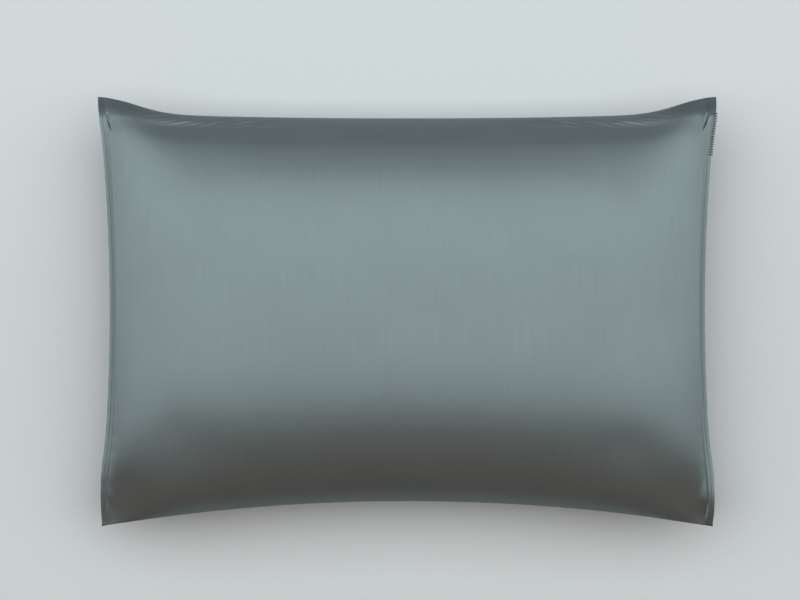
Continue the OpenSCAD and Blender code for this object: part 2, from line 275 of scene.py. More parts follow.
class CaseCloth:
    """Two panels cut to size, sewn round and blown up by their filling."""

    def __init__(self, cut_w, cut_h, pitch):
        self.half_w, self.half_h = cut_w / 2, cut_h / 2
        self.inner = self.half_w - BAND
        self.a = np.concatenate([[-self.half_w, -self.half_w + BAND / 2], self.steps(self.inner, pitch),
                                 [self.half_w - BAND / 2, self.half_w]])
        self.b = self.steps(self.half_h, pitch)
        self.na, self.nb = len(self.a), len(self.b)

    def steps(self, half, pitch):
        """Even steps over the middle, closer ones where the cloth turns down to a seam."""
        close = (0.0, 0.0025, 0.006, 0.0105, 0.016)
        far = half - close[-1]
        middle = np.linspace(-far, far, 2 * round(far / pitch) + 1)
        return np.concatenate([[-half + c for c in close[:-1]], middle, [half - c for c in close[:-1]][::-1]])

    def start(self, up):
        """The panel's crowned starting shape: up is 1 for the front and -1 for the back."""
        na = self.na
        height = LOFT - SEAM_Z if up > 0 else SEAM_Z
        s = np.clip(self.a / self.inner, -1, 1)
        t = self.b / self.half_h
        v_mid = spread(t, HALF_H - (SAG_TOP + SAG_BOTTOM) / 2, 1, height, ALONG)
        u_mid = spread(s, HALF_W - SAG_SIDE - BAND, 1, height, ACROSS)
        u = np.array([spread(s, HALF_W - SAG_SIDE - BAND, 1, height * crown_line(v, ALONG), ACROSS) for v in v_mid]).T
        v = np.array([spread(t, HALF_H - SAG_TOP, 1, height * crown_line(q, ACROSS), ALONG) for q in u_mid])
        y = v * edge_y(u, v)
        x = u * (edge_x(y) - BAND)
        z = crown_line(u, ACROSS) * crown_line(v, ALONG) * height * 0.988 * ear(x, y) + 0.0009
        opened = self.opened(t)
        for k in range(3):
            for i, side in ((k, -1), (na - 1 - k, 1)):
                y[i] = t * HALF_H
                x[i] = side * (edge_x(y[i]) - BAND * k / 2)
                z[i] = (0.0009, 0.0014, 0.0017)[k]
                if side > 0:
                    z[i] += (0.0053 - 0.0002 * k) * opened
        for j, end in ((0, -1), (-1, 1)):
            q = self.a / self.half_w
            y[:, j] = end * edge_y(q, end)
            x[:, j] = q * edge_x(end * HALF_H)
            z[:, j] = 0.0009
        return np.stack([x, y, SEAM_Z + up * z], axis=-1)

    def opened(self, t):
        """Share of the zip opening's height at each point down the side."""
        return eased((1 - np.abs(t)) / 0.10)

    def inflate(self, frames, pressure):
        """Blows the sewn panels up from their flat cut and returns where both come to rest."""
        na, nb = self.na, self.nb
        front, back = self.start(1), self.start(-1)
        count = na * nb
        points = np.concatenate([front.reshape(-1, 3), back.reshape(-1, 3)])
        r0 = round_edge(na, nb)
        r1 = r0 + count
        wall = np.stack([r1, np.roll(r1, -1), np.roll(r0, -1), r0], axis=-1)
        faces = np.concatenate([grid_faces(na, nb), grid_faces(na, nb)[:, ::-1] + count, wall])
        o = mesh_object("case_cloth", points, faces)
        o.shape_key_add(name="Basis")
        flat = o.shape_key_add(name="cut")
        aa, bb = np.meshgrid(self.a, self.b, indexing="ij")
        co = np.concatenate([np.stack([aa.ravel(), bb.ravel(), np.full(count, SEAM_Z + up * 0.001)], axis=-1)
                             for up in (1, -1)])
        flat.data.foreach_set("co", co.astype(np.float32).ravel())
        flat.value = 0
        held = o.vertex_groups.new(name="sewn")
        fixed = np.zeros((na, nb), bool)
        fixed[:3] = fixed[-3:] = True
        fixed[:, 0] = fixed[:, -1] = True
        ids = np.flatnonzero(fixed.ravel())
        held.add([int(k) for k in np.concatenate([ids, ids + count])], 1.0, "REPLACE")
        cloth = o.modifiers.new("filling", "CLOTH")
        s = cloth.settings
        s.quality = 7
        s.mass = 0.15
        s.tension_stiffness = s.compression_stiffness = 25
        s.shear_stiffness = 6
        s.bending_stiffness = 0.08
        s.tension_damping = s.compression_damping = 8
        s.shear_damping = 5
        s.bending_damping = 0.6
        s.air_damping = 4
        s.vertex_group_mass = "sewn"
        s.pin_stiffness = 50
        s.rest_shape_key = flat
        s.use_pressure = True
        s.uniform_pressure_force = pressure
        s.effector_weights.gravity = 0
        cloth.collision_settings.use_collision = False
        cloth.collision_settings.use_self_collision = False
        scene = bpy.context.scene
        scene.frame_start, scene.frame_end = 1, frames
        cloth.point_cache.frame_start, cloth.point_cache.frame_end = 1, frames
        for f in range(1, frames + 1):
            scene.frame_set(f)
        e = o.evaluated_get(bpy.context.evaluated_depsgraph_get())
        co = np.zeros(len(e.data.vertices) * 3)
        e.data.vertices.foreach_get("co", co)
        co = co.reshape(-1, 3)
        scene.frame_set(1)
        bpy.data.objects.remove(o)
        return co[:count].reshape(na, nb, 3), co[count:].reshape(na, nb, 3)


# ---------------------------------------------------------------- shaping of the settled cloth
def settled(start, moved, most):
    """The filling holds the cloth near its starting shape: creases ease out and no point moves further than this."""
    d = moved - start
    for _ in range(14):
        d[1:-1, 1:-1] = (d[1:-1, 1:-1] * 2 + d[:-2, 1:-1] + d[2:, 1:-1] + d[1:-1, :-2] + d[1:-1, 2:]) / 6
    far = np.linalg.norm(d, axis=-1, keepdims=True)
    return start + d * most / (most + far)


def crease(x, y, a, b, depth, width):
    """A short fold pressed in along the line from a to b."""
    a, b = np.array(a), np.array(b)
    d = b - a
    length = np.hypot(*d)
    d = d / length
    along = (x - a[0]) * d[0] + (y - a[1]) * d[1]
    across = (x - a[0]) * -d[1] + (y - a[1]) * d[0]
    ends = eased(along / (0.35 * length) + 0.3) * eased((length - along) / (0.45 * length) + 0.3)
    return -depth * ends * np.exp(-(across / width) ** 2)


def rumple(grid):
    """Small folds that the corners and seams put into the filled front."""
    x, y, z = grid[..., 0], grid[..., 1], grid[..., 2]
    lift = np.zeros_like(z)
    for side in (-1, 1):
        # the short fold that each upper corner is left with
        lift += crease(side * x, y, (0.3490, 0.2310), (0.3400, 0.2100), 0.0030, 0.0062)
    # the shallow trough that the gathered upper seam leaves below it
    inset = edge_top(x / HALF_W) - y
    share = (0.3 + 0.7 * eased((np.abs(x) - 0.06) / 0.12)) * eased((0.335 - np.abs(x)) / 0.06)
    lift -= 0.0030 * share * np.exp(-((inset - 0.019) / 0.0088) ** 2)
    # puckers that the stitched bands pull into the cloth beside them
    inset = edge_x(np.clip(y, -HALF_H, HALF_H)) - np.abs(x)
    held = np.exp(-(np.maximum(inset - BAND, 0) / 0.007) ** 2) * (inset > BAND * 0.8)
    lift -= 0.0020 * pucker(y) * held
    grid[..., 2] += lift
    return grid


def with_edges(cloth, grid, up):
    """Adds the folded lip, band and turned in allowances round a settled panel. Returns the grid and its cut."""
    t = cloth.b / cloth.half_h
    sewn = np.abs(t) ** 30
    y = t * HALF_H
    tuck = pucker(y)
    lip = 0.0 if up > 0 else LIP
    # the zip tape and the allowance it is sewn to hold the skin up off them
    grid = grid.copy()
    inset = edge_x(np.clip(grid[..., 1], -HALF_H, HALF_H)) - grid[..., 0]
    need = 0.0080 + 0.914 * np.clip(inset - 0.0066, 0, 0.0075) - 1.2 * np.maximum(0, inset - 0.0150)
    need = need - 0.6 * np.maximum(0, np.abs(grid[..., 1]) - 0.219)
    w = up * (grid[..., 2] - SEAM_Z)
    grid[..., 2] = SEAM_Z + up * np.where(inset > 0.001, np.maximum(w, need), w)

    def rows(corner, side_section, side):
        made = []
        for k, ((cd, cw), (sd, sw)) in enumerate(zip(corner, side_section)):
            if side > 0 and 1 <= k <= 4:
                sd = sd + lip * (0.5 if k == 1 else 1)
            d = cd * sewn + sd * (1 - sewn) + 0.00045 * tuck * (k in (2, 3, 4))
            w = cw * sewn + sw * (1 - sewn) - 0.00035 * tuck * (k in (1, 2)) * (side < 0)
            made.append(np.stack([side * (edge_x(y) - d), y, SEAM_Z + up * w], axis=-1))
        return np.array(made)

    left, right = rows(CORNER_LEFT, SIDE_LEFT, -1), rows(CORNER_ZIP, SIDE_ZIP, 1)
    # the turned in allowance stays under the skin where the skin is low
    for j in range(len(y)):
        skin = np.concatenate([grid[-16:-3, j], right[:1, j]])
        room = up * (np.interp(right[5:, j, 0], skin[:, 0], skin[:, 2]) - SEAM_Z) - 0.0018
        w = up * (right[5:, j, 2] - SEAM_Z)
        right[5:, j, 2] = SEAM_Z + up * np.maximum(0.0003, np.minimum(w, room))
    full = np.concatenate([left[::-1], grid[3:-3], right])
    a = np.concatenate([-cloth.half_w - walked(SIDE_LEFT)[::-1], cloth.a[3:-3], cloth.half_w + walked(SIDE_ZIP)])
    a_out = np.clip(a / cloth.half_w, -1, 1)
    # along the sewn upper and lower edges every row ends on the outline
    for j, end in ((0, -1), (-1, 1)):
        fold = np.minimum(np.maximum(0, np.abs(a) - cloth.half_w), 0.009)
        tip = edge_x(end * HALF_H)
        x = a_out * tip - np.sign(a) * fold
        full[:, j, 0] = x
        full[:, j, 1] = end * (edge_y(x / tip, end) - np.where(fold > 0.0001, 0.0012, 0))
        full[:, j, 2] = SEAM_Z + up * np.where(fold > 0.0001, 0.0003, 0.0009)
    turned = []
    for end, j in ((-1, 0), (1, -1)):
        more = []
        for d, w in SEWN:
            p = full[:, j].copy()
            p[:, 1] -= end * d
            inside = edge_x(p[:, 1]) - d * 0.2
            p[:, 0] = np.clip(p[:, 0], -inside, inside)
            p[:, 2] = SEAM_Z + up * w
            more.append(p)
        turned.append(np.stack(more, axis=1))
    full = np.concatenate([turned[0][:, ::-1], full, turned[1]], axis=1)
    out = np.array([0.0006, 0.0043, 0.0093])
    b = np.concatenate([-cloth.half_h - out[::-1], cloth.b, cloth.half_h + out])
    return full, a, b


def height_field(grid):
    """Looks up a surface's height from straight above."""
    n, m = grid.shape[:2]
    tree = BVHTree.FromPolygons([Vector(p) for p in grid.reshape(-1, 3)],
                                [tuple(map(int, f)) for f in grid_faces(n, m)])

    def at(x, y, up):
        x, y = np.broadcast_arrays(np.asarray(x, float), np.asarray(y, float))
        out = np.full(x.shape, np.nan)
        for k in np.ndindex(x.shape):
            hit = tree.ray_cast(Vector((x[k], y[k], 1.0 if up > 0 else -1.0)), Vector((0, 0, -up)))
            if hit[0] is not None:
                out[k] = hit[0].z
        return np.where(np.isnan(out), SEAM_Z, out)
    return at


# ---------------------------------------------------------------- mesh makers for cloth and thread
def grid_faces(n, m):
    i, j = np.meshgrid(np.arange(n - 1), np.arange(m - 1), indexing="ij")
    k = (i * m + j).ravel()
    return np.stack([k, k + m, k + m + 1, k + 1], axis=-1)


def cloth_object(name, grid, a, b, up, thickness, smooth_levels=0, leave_out=None):
    """A sheet from a grid of points, with the cut of the cloth as its UV map in metres, given its thickness."""
    n, m = grid.shape[:2]
    faces = grid_faces(n, m)
    if leave_out is not None:
        keep = np.ones((n - 1, m - 1), bool)
        left, right, lower, upper = leave_out
        keep[:left, :lower] = keep[:left, m - 1 - upper:] = False
        keep[n - 1 - right:, :lower] = keep[n - 1 - right:, m - 1 - upper:] = False
        faces = faces[keep.ravel()]
    if up < 0:
        faces = faces[:, ::-1]
    used = np.unique(faces)
    remap = np.zeros(n * m, int)
    remap[used] = np.arange(len(used))
    aa, bb = np.meshgrid(a, b, indexing="ij")
    flat = np.stack([aa.ravel(), bb.ravel()], axis=-1)[used]
    o = mesh_object(name, grid.reshape(-1, 3)[used], remap[faces])
    uv = o.data.uv_layers.new(name="cut")
    loops = np.zeros(len(o.data.loops), int)
    o.data.loops.foreach_get("vertex_index", loops)
    uv.data.foreach_set("uv", flat[loops].astype(np.float32).ravel())
    if smooth_levels:
        sub = o.modifiers.new("smooth", "SUBSURF")
        sub.levels = sub.render_levels = smooth_levels
        sub.boundary_smooth = "PRESERVE_CORNERS"
    wall = o.modifiers.new("cloth", "SOLIDIFY")
    wall.thickness = thickness
    wall.offset = -1
    select_only(o)
    for mod in list(o.modifiers):
        bpy.ops.object.modifier_apply(modifier=mod.name)
    return o


def tube(points, radius, sides, closed=False):
    """Vertices and faces of a round thread along a line of points, with closed ends."""
    p = np.asarray(points, float)
    n = len(p)
    ahead = np.roll(p, -1, 0) - np.roll(p, 1, 0) if closed else np.gradient(p, axis=0)
    ahead /= np.linalg.norm(ahead, axis=1, keepdims=True)
    side = np.cross(ahead[0], (0.0, 0.0, 1.0))
    if np.linalg.norm(side) < 0.2:
        side = np.cross(ahead[0], (0.0, 1.0, 0.0))
    verts = []
    turn = np.arange(sides) * 2 * math.pi / sides
    for k in range(n):
        side = side - ahead[k] * (side @ ahead[k])
        side /= np.linalg.norm(side)
        other = np.cross(ahead[k], side)
        verts.append(p[k] + radius * (np.cos(turn)[:, None] * side + np.sin(turn)[:, None] * other))
    verts = np.concatenate(verts)
    faces = []
    for k in range(n if closed else n - 1):
        u, w = k * sides, ((k + 1) % n) * sides
        for q in range(sides):
            r = (q + 1) % sides
            faces.append((u + q, u + r, w + r, w + q))
    if not closed:
        faces.append(tuple(range(sides - 1, -1, -1)))
        faces.append(tuple((n - 1) * sides + q for q in range(sides)))
    return verts, faces


def joined(name, parts):
    """One object from several sets of vertices and faces."""
    verts, faces, base = [], [], 0
    for v, f in parts:
        verts.append(np.asarray(v))
        faces += [tuple(int(base + k) for k in g) for g in f]
        base += len(v)
    return mesh_object(name, np.concatenate(verts), faces)


def one_stitch(length, radius):
    """A single stitch, lying along X with its ends drawn down into the cloth."""
    clear_selection()
    bpy.ops.mesh.primitive_cylinder_add(vertices=6, radius=radius, depth=length, end_fill_type="TRIFAN",
                                        rotation=(0, math.pi / 2, 0))
    o = bpy.context.active_object
    select_only(o)
    bpy.ops.object.transform_apply(location=True, rotation=True, scale=True)
    bpy.ops.object.mode_set(mode="EDIT")
    bpy.ops.mesh.select_mode(type="EDGE")
    bpy.ops.mesh.select_all(action="DESELECT")
    bm = bmesh.from_edit_mesh(o.data)
    for e in bm.edges:
        run = e.verts[0].co - e.verts[1].co
        e.select = abs(run.x) > length * 0.5
    bmesh.update_edit_mesh(o.data)
    bpy.ops.mesh.subdivide(number_cuts=3)
    bpy.ops.object.mode_set(mode="OBJECT")
    for v in o.data.vertices:
        s = abs(v.co.x) / (length / 2)
        v.co.z += radius * (0.7 - 2.6 * max(0.0, s - 0.45) ** 1.4)
        if s > 0.95:
            v.co.y *= 0.6
    verts = np.array([tuple(v.co) for v in o.data.vertices])
    faces = [tuple(f.vertices) for f in o.data.polygons]
    bpy.data.objects.remove(o)
    return verts, faces


def placed(part, origin, along, up):
    """A copy of a part with its X along the line, its Z away from the cloth."""
    along = np.asarray(along, float) / np.linalg.norm(along)
    up = np.asarray(up, float)
    up = up - along * (up @ along)
    up /= np.linalg.norm(up)
    side = np.cross(up, along)
    v, f = part
    return np.asarray(origin) + v[:, :1] * along + v[:, 1:2] * side + v[:, 2:3] * up, f


def stitch_row(part, points, ups, step):
    """Copies a stitch along a line of points, step apart."""
    p, ups = np.asarray(points, float), np.asarray(ups, float)
    run = lengths(p)
    count = int(run[-1] // step)
    made = []
    for k in range(count):
        c = (k + 0.5) * run[-1] / count
        at = [np.interp(c, run, p[:, q]) for q in range(3)]
        on = [np.interp(min(run[-1], c + 0.0005), run, p[:, q]) for q in range(3)]
        off = [np.interp(max(0, c - 0.0005), run, p[:, q]) for q in range(3)]
        up = [np.interp(c, run, ups[:, q]) for q in range(3)]
        made.append(placed(part, at, np.array(on) - np.array(off), up))
    return made


def on_arc(y, n, w):
    """A point beside the zip chain: y along it, n outward from it and w above the seam plane."""
    y, n, w = np.broadcast_arrays(np.asarray(y, float), np.asarray(n, float), np.asarray(w, float))
    angle = np.arcsin(y / CHAIN_R)
    r = CHAIN_R - n
    return drooped(np.stack([ARC_X - np.cos(angle) * r, np.sin(angle) * r, SEAM_Z + w], axis=-1))


def chain_frame(y):
    """Matrix from the slider's own axes (outward, along, across) to its place on the chain."""
    angle = math.asin(y / CHAIN_R)
    return (Matrix.Translation((ARC_X, 0, SEAM_Z)) @ Matrix.Rotation(-angle, 4, "Z")
            @ Matrix.Translation((-CHAIN_R, 0, 0)))


def settle(o, material, body, replaced=()):
    """Finishes a piece: its material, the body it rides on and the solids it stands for."""
    give(o, material)
    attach(o, body)
    if replaced:
        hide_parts(*replaced)
    return o


# ---------------------------------------------------------------- materials
def colour(name):
    return (*getattr(bpy.context.scene.pillow_colours, name), 1.0)


def two_shades(t, fac, base, swing):
    """A colour that varies a little about its base with the given factor."""
    ramp = node(t, "ShaderNodeValToRGB", [("Fac", fac)])
    for k, share in ((0, 1 - swing), (1, 1 + swing)):
        ramp.color_ramp.elements[k].position = (0.25, 0.75)[k]
        ramp.color_ramp.elements[k].color = (*[min(1, c * share) for c in base[:3]], 1)
    return ramp


def satin(half_h):
    """Polyester charmeuse satin, piece dyed slate. Long floats down the cloth give a soft one-way gleam."""
    m, t = new_material("polyester satin, slate dyed")
    uv = node(t, "ShaderNodeUVMap", uv_map="cut")
    tangent = node(t, "ShaderNodeTangent", direction_type="UV_MAP", uv_map="cut")
    # slubs: threads of uneven thickness, about 1.5 mm across and 60 mm long
    slub_map = node(t, "ShaderNodeMapping", [("Vector", uv.outputs[0])], Scale=(650, 16, 1))
    slub = node(t, "ShaderNodeTexNoise", [("Vector", slub_map.outputs[0])], Scale=1.0, Detail=2.0, Roughness=0.5)
    # dye: cloudy changes of shade some 90 mm across
    cloud = node(t, "ShaderNodeTexNoise", [("Vector", uv.outputs[0])], Scale=11.0, Detail=3.0, Roughness=0.6)
    both = node(t, "ShaderNodeMath", [(0, slub.outputs["Fac"]), (1, cloud.outputs["Fac"])], operation="ADD")
    half = node(t, "ShaderNodeMath", [(0, both.outputs[0])], operation="MULTIPLY")
    half.inputs[1].default_value = 0.5
    shade = two_shades(t, half.outputs[0], colour("satin"), 0.07)
    # painted shade: where the cloth turns into a seam, the last millimetre is darkened in its colour to stand in for
    # the shade it lies in
    parts = node(t, "ShaderNodeSeparateXYZ", [("Vector", uv.outputs[0])])
    out = node(t, "ShaderNodeMath", [(0, parts.outputs["Y"])], operation="ABSOLUTE")
    near = node(t, "ShaderNodeMapRange", [("Value", out.outputs[0])], From_Min=half_h - 0.0022,
                From_Max=half_h - 0.0006, To_Min=0.0, To_Max=1.0)
    seam_painted_shade = node(t, "ShaderNodeMix", [("Factor", near.outputs[0]), ("A", shade.outputs["Color"])], data_type="RGBA")
    # painted shade: the seam's edge takes 45 % of the satin's colour
    seam_painted_shade.inputs[7].default_value = (*[c * 0.45 for c in colour("satin")[:3]], 1)
    # gathers: slanting folds some 10 mm apart that fan out from the upper seam towards both corners
    wide = node(t, "ShaderNodeMath", [(0, parts.outputs["X"])], operation="ABSOLUTE")
    fanned = node(t, "ShaderNodeCombineXYZ", [("X", wide.outputs[0]), ("Y", parts.outputs["Y"])])
    slant = node(t, "ShaderNodeMapping", [("Vector", fanned.outputs[0])], vector_type="TEXTURE",
                 Rotation=(0, 0, math.radians(-22)), Scale=(0.045, 0.0050, 1))
    fold = node(t, "ShaderNodeTexNoise", [("Vector", slant.outputs[0])], Scale=1.0, Detail=0.5, Roughness=0.4)
    rim = node(t, "ShaderNodeMapRange", [("Value", parts.outputs["Y"])], interpolation_type="SMOOTHSTEP",
               From_Min=half_h - 0.034, From_Max=half_h - 0.016, To_Min=0.0, To_Max=1.0)
    span = node(t, "ShaderNodeMapRange", [("Value", wide.outputs[0])], interpolation_type="SMOOTHSTEP",
                From_Min=0.05, From_Max=0.17, To_Min=0.0, To_Max=1.0)
    ends = node(t, "ShaderNodeMapRange", [("Value", wide.outputs[0])], interpolation_type="SMOOTHSTEP",
                From_Min=0.28, From_Max=0.34, To_Min=1.0, To_Max=0.0)
    much = node(t, "ShaderNodeMath", [(0, rim.outputs[0]), (1, span.outputs[0])], operation="MULTIPLY")
    much = node(t, "ShaderNodeMath", [(0, much.outputs[0]), (1, ends.outputs[0])], operation="MULTIPLY")
    folds = node(t, "ShaderNodeMath", [(0, fold.outputs["Fac"]), (1, much.outputs[0])], operation="MULTIPLY")
    # the pocket of the short fold at each upper corner
    near = node(t, "ShaderNodeMapping", [("Vector", fanned.outputs[0])], vector_type="TEXTURE",
                Location=(0.3625, half_h - 0.031, 0), Rotation=(0, 0, math.radians(63)), Scale=(0.015, 0.0040, 1))
    away = node(t, "ShaderNodeVectorMath", [(0, near.outputs[0])], operation="LENGTH")
    pocket = node(t, "ShaderNodeMapRange", [("Value", away.outputs["Value"])], interpolation_type="SMOOTHSTEP",
                  From_Min=0.0, From_Max=1.0, To_Min=-1.4, To_Max=0.0)
    folds = node(t, "ShaderNodeMath", [(0, folds.outputs[0]), (1, pocket.outputs[0])], operation="ADD")
    # the upper seam rolls under towards the tips
    roll = node(t, "ShaderNodeMapRange", [("Value", parts.outputs["Y"])], interpolation_type="SMOOTHSTEP",
                From_Min=half_h - 0.026, From_Max=half_h + 0.004, To_Min=0.0, To_Max=-3.0)
    tips = node(t, "ShaderNodeMapRange", [("Value", wide.outputs[0])], interpolation_type="SMOOTHSTEP",
                From_Min=0.27, From_Max=0.35, To_Min=0.04, To_Max=1.0)
    rolled = node(t, "ShaderNodeMath", [(0, roll.outputs[0]), (1, tips.outputs[0])], operation="MULTIPLY")
    folds = node(t, "ShaderNodeMath", [(0, folds.outputs[0]), (1, rolled.outputs[0])], operation="ADD")
    gathers = node(t, "ShaderNodeBump", [("Height", folds.outputs[0])], Strength=1.0, Distance=0.0040)
    # floats: drawn about 0.6 mm apart, three times the real spacing, so that they show
    float_map = node(t, "ShaderNodeMapping", [("Vector", uv.outputs[0])], Scale=(1700, 420, 1))
    floats = node(t, "ShaderNodeTexNoise", [("Vector", float_map.outputs[0])], Scale=1.0, Detail=1.0, Roughness=0.5)
    bump = node(t, "ShaderNodeBump", [("Height", floats.outputs["Fac"]), ("Normal", gathers.outputs[0])],
                Strength=0.16, Distance=0.0004)
    # the base colour carries the painted seam shade
    b = node(t, "ShaderNodeBsdfPrincipled",
             [("Base Color", seam_painted_shade.outputs[2]), ("Normal", bump.outputs[0]), ("Tangent", tangent.outputs[0])],
             Metallic=0.75, Roughness=0.66, Anisotropic=0.85)
    finish_material(t, b)
    return m


def woven(name, base, spacing, roughness, swing=0.08, depth=0.5, sheen=0.0):
    """Plain woven cloth: over and under of two threads at the given spacing in metres, on the cloth's own map."""
    m, t = new_material(name)
    uv = node(t, "ShaderNodeUVMap", uv_map="cut")
    turns = 1 / (spacing * 2)
    waves = []
    for axis in ("X", "Y"):
        w = node(t, "ShaderNodeTexWave", [("Vector", uv.outputs[0])], bands_direction=axis,
                 Scale=turns * 0.314, Distortion=0.4, Detail=1.0)
        waves.append(w)
    over = node(t, "ShaderNodeMath", [(0, waves[0].outputs["Fac"]), (1, waves[1].outputs["Fac"])], operation="MULTIPLY")
    noise = node(t, "ShaderNodeTexNoise", [("Vector", uv.outputs[0])], Scale=140.0, Detail=3.0)
    shade = two_shades(t, noise.outputs["Fac"], base, swing)
    bump = node(t, "ShaderNodeBump", [("Height", over.outputs[0])], Strength=depth, Distance=spacing * 0.4)
    b = node(t, "ShaderNodeBsdfPrincipled", [("Base Color", shade.outputs["Color"]), ("Normal", bump.outputs[0])],
             Roughness=roughness, Sheen_Weight=sheen)
    finish_material(t, b)
    return m


def twisted_thread():
    """Core spun polyester thread: two plies, whose turn shows every 0.6 mm or so."""
    m, t = new_material("core spun polyester thread, slate")
    co = node(t, "ShaderNodeTexCoord")
    lay = node(t, "ShaderNodeMapping", [("Vector", co.outputs["Object"])], Rotation=(0, 0, math.radians(32)))
    ply = node(t, "ShaderNodeTexWave", [("Vector", lay.outputs[0])], Scale=1 / 0.0006 * 0.157, Distortion=0.6,
               Detail=1.0)
    shade = two_shades(t, ply.outputs["Fac"], colour("thread"), 0.22)
    bump = node(t, "ShaderNodeBump", [("Height", ply.outputs["Fac"])], Strength=0.6, Distance=0.00012)
    b = node(t, "ShaderNodeBsdfPrincipled", [("Base Color", shade.outputs["Color"]), ("Normal", bump.outputs[0])],
             Roughness=0.55, Sheen_Weight=0.2)
    finish_material(t, b)
    return m


def grained(name, base, swing, grain, bump=None, rough=None, **shader):
    """A material whose shade, and where given its roughness and surface too, follow one fine noise."""
    m, t = new_material(name)
    co = node(t, "ShaderNodeTexCoord")
    noise = node(t, "ShaderNodeTexNoise", [("Vector", co.outputs["Object"])], **grain)
    fac = noise.outputs["Fac"]
    links = [("Base Color", two_shades(t, fac, base, swing).outputs["Color"])]
    if rough:
        spread_out = node(t, "ShaderNodeMapRange", [("Value", fac)], To_Min=rough[0], To_Max=rough[1])
        links.append(("Roughness", spread_out.outputs[0]))
    if bump:
        links.append(("Normal", node(t, "ShaderNodeBump", [("Height", fac)], Strength=bump[0],
                                     Distance=bump[1]).outputs[0]))
    finish_material(t, node(t, "ShaderNodeBsdfPrincipled", links, **shader))
    return m


def coil_nylon():
    """Drawn nylon monofilament, dyed: smooth and faintly waxy, with a narrow highlight on each turn."""
    return grained("nylon monofilament, slate", colour("coil"), 0.10, {"Scale": 900.0, "Detail": 2.0},
                   rough=(0.28, 0.40), IOR=1.53, Subsurface_Weight=0.1, Subsurface_Radius=(0.001, 0.001, 0.001))


def lacquered_zinc():
    """Die cast zinc, tumbled and stove lacquered slate, rubbed a little brighter in patches."""
    return grained("die cast zinc, lacquered", colour("metal"), 0.14, {"Scale": 700.0, "Detail": 3.0},
                   bump=(0.2, 0.00005), rough=(0.30, 0.46), Metallic=0.8, Coat_Weight=0.35, Coat_Roughness=0.18)


def fibre():
    """Crimped hollow polyester fibre, carded: a white, matted, cloudy mass."""
    return grained("hollow polyester fibre, carded", linear("#e9e7e1"), 0.06,
                   {"Scale": 420.0, "Detail": 6.0, "Roughness": 0.7, "Distortion": 1.2}, bump=(0.8, 0.0012),
                   Roughness=0.95, Sheen_Weight=0.5)


def woven_thread():
    """Spun cotton thread, bleached: soft and a little hairy."""
    return grained("spun cotton thread, bleached", linear("#dedbd2"), 0.1, {"Scale": 2400.0, "Detail": 2.0},
                   Roughness=0.9)


def painted(name, low, high, scale, roughness):
    """Matt paint or paper: even, with the lightest of textures."""
    m, t = new_material(name)
    co = node(t, "ShaderNodeTexCoord")
    noise = node(t, "ShaderNodeTexNoise", [("Vector", co.outputs["Object"])], Scale=scale, Detail=2.0)
    ramp = node(t, "ShaderNodeValToRGB", [("Fac", noise.outputs["Fac"])])
    ramp.color_ramp.elements[0].color = linear(low)
    ramp.color_ramp.elements[1].color = linear(high)
    b = node(t, "ShaderNodeBsdfPrincipled", [("Base Color", ramp.outputs["Color"])], Roughness=roughness)
    finish_material(t, b)
    return m


def shared(name, make, *rest):
    """The material of that key, made once."""
    if name not in MADE:
        MADE[name] = make(*rest)
    return MADE[name]


# ---------------------------------------------------------------- settings
class PillowSizes(bpy.types.PropertyGroup):
    """Sizes a maker would change"""
    cut_w: bpy.props.FloatProperty(name="Cut width", description="Width of the sewn case laid flat",
                                   default=0.760, unit="LENGTH")
    cut_h: bpy.props.FloatProperty(name="Cut height", description="Height of the sewn case laid flat",
                                   default=0.510, unit="LENGTH")
    pitch: bpy.props.FloatProperty(name="Cloth step", description="Spacing of the simulated cloth",
                                   default=0.0064, unit="LENGTH")
    pressure: bpy.props.FloatProperty(name="Filling", description="Push of the filling on the case", default=4.0)
    give: bpy.props.FloatProperty(name="Give", description="Most that the cloth moves from its starting shape",
                                  default=0.005, unit="LENGTH")
    stitch: bpy.props.FloatProperty(name="Stitch", description="Length of one stitch", default=0.0028, unit="LENGTH")
    thread: bpy.props.FloatProperty(name="Thread", description="Thickness of the sewing thread", default=0.0005,
                                    unit="LENGTH")
    tooth: bpy.props.FloatProperty(name="Coil pitch", description="Distance between turns of the zip coil",
                                   default=0.0023, unit="LENGTH")
    piping: bpy.props.FloatProperty(name="Piping", description="Radius of the insert's corded edge", default=0.002,
                                    unit="LENGTH")


def shade_of(name, what, hex_colour):
    return bpy.props.FloatVectorProperty(name=name, description=what, subtype="COLOR", size=3, min=0, max=1,
                                         default=linear(hex_colour)[:3])


class PillowColours(bpy.types.PropertyGroup):
    """Colours a maker would change"""
    satin: shade_of("Satin", "Dye of the case", "#6b777a")
    thread: shade_of("Thread", "Colour of the sewing thread", "#2b3235")
    tape: shade_of("Zip tape", "Colour of the woven tapes", "#59646a")
    coil: shade_of("Zip coil", "Colour of the coil and stops", "#4e585d")
    metal: shade_of("Slider", "Colour of the lacquered slider and tab", "#5b6367")
    ticking: shade_of("Ticking", "Colour of the insert's cover", "#e6e4de")
    label: shade_of("Labels", "Colour of the label cloth", "#eceae4")


